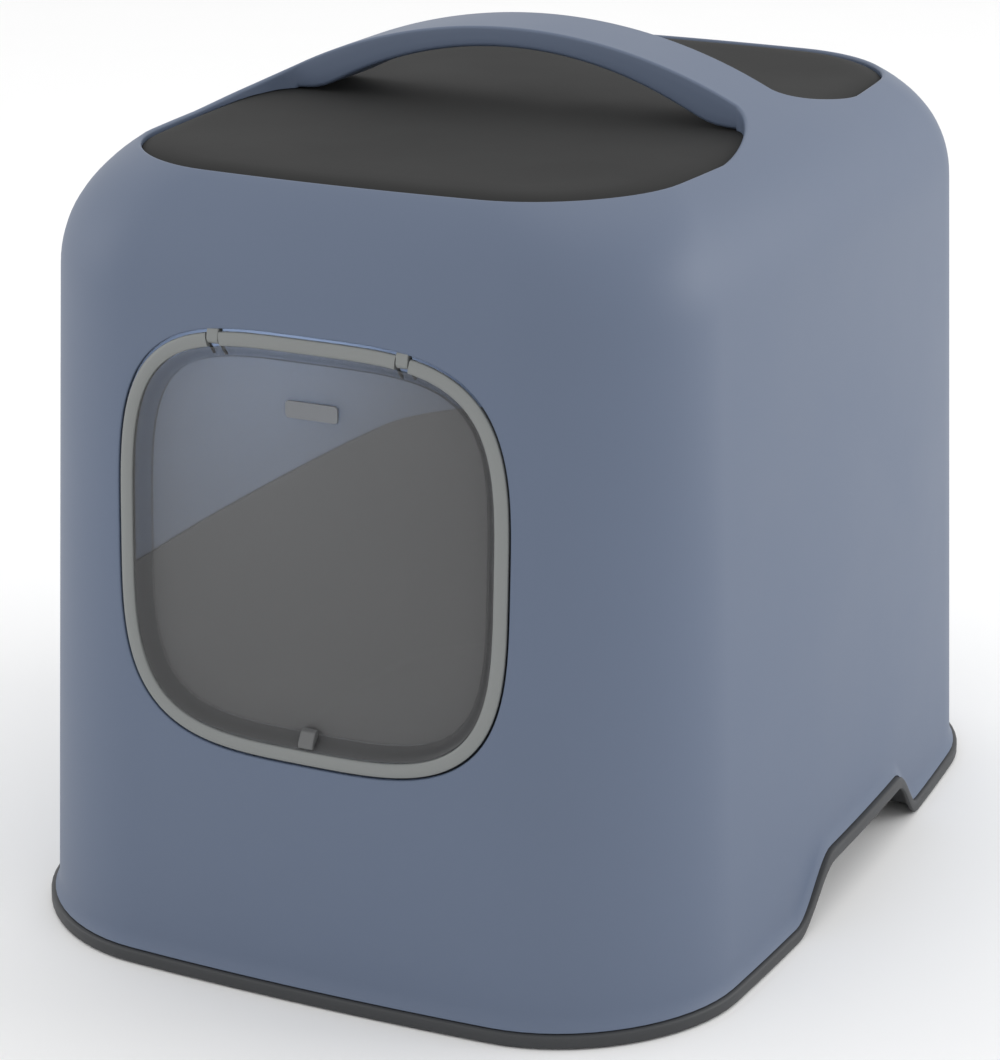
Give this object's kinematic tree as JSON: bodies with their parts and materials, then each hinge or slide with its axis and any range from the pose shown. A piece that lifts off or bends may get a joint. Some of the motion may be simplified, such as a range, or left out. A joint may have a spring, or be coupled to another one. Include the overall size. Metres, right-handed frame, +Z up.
{
  "type": "cat litter box with hood",
  "caption": "Hooded cat litter box: deep tray with a rim, lift-off hood with an arched carry handle, frosted swing door and odour filter under a top panel.",
  "frame": {"origin": "on the floor under the middle of the box", "axes": "+X to the right seen from the door side, +Y to the back, +Z up, the door on the -Y side"},
  "size_m": [0.4282, 0.563, 0.4785],
  "materials": {
    "blue_plastic": "satin moulded plastic",
    "dark_plastic": "fine grained",
    "frosted_plastic": "frosted translucent",
    "light_grey_plastic": "satin",
    "pin_steel": "ground",
    "carbon_felt": "matte felt",
    "rubber": "matte"
  },
  "bodies": {
    "tray": {"tray": "dark_plastic", "foot_1": "rubber", "foot_2": "rubber", "foot_3": "rubber", "foot_4": "rubber"},
    "hood": {"hood": "blue_plastic", "top_panel": "dark_plastic", "filter_frame": "dark_plastic", "filter_cover_pin": "pin_steel"},
    "filter_cover": {"filter_cover": "dark_plastic", "carbon_filter": "carbon_felt"},
    "flap": {"flap_panel": "frosted_plastic", "flap_rim": "light_grey_plastic", "flap_rim_top": "light_grey_plastic", "flap_pad": "light_grey_plastic", "flap_tab": "light_grey_plastic", "hinge_pin_left": "pin_steel", "hinge_pin_right": "pin_steel"}
  },
  "joints": [
    {"name": "hood_lift", "type": "slide", "parent": "tray", "child": "hood", "axis": [0, 0, 1], "range_m": [0, 0.25]},
    {"name": "flap_swing", "type": "hinge", "parent": "hood", "child": "flap", "pos_m": [0, -0.25984, 0.354], "axis": [1, 0, 0], "range_deg": [-72, 72]},
    {"name": "filter_cover_hinge", "type": "hinge", "parent": "hood", "child": "filter_cover", "pos_m": [0, 0.068, 0.4045], "axis": [1, 0, 0], "range_deg": [0, 85]}
  ]
}
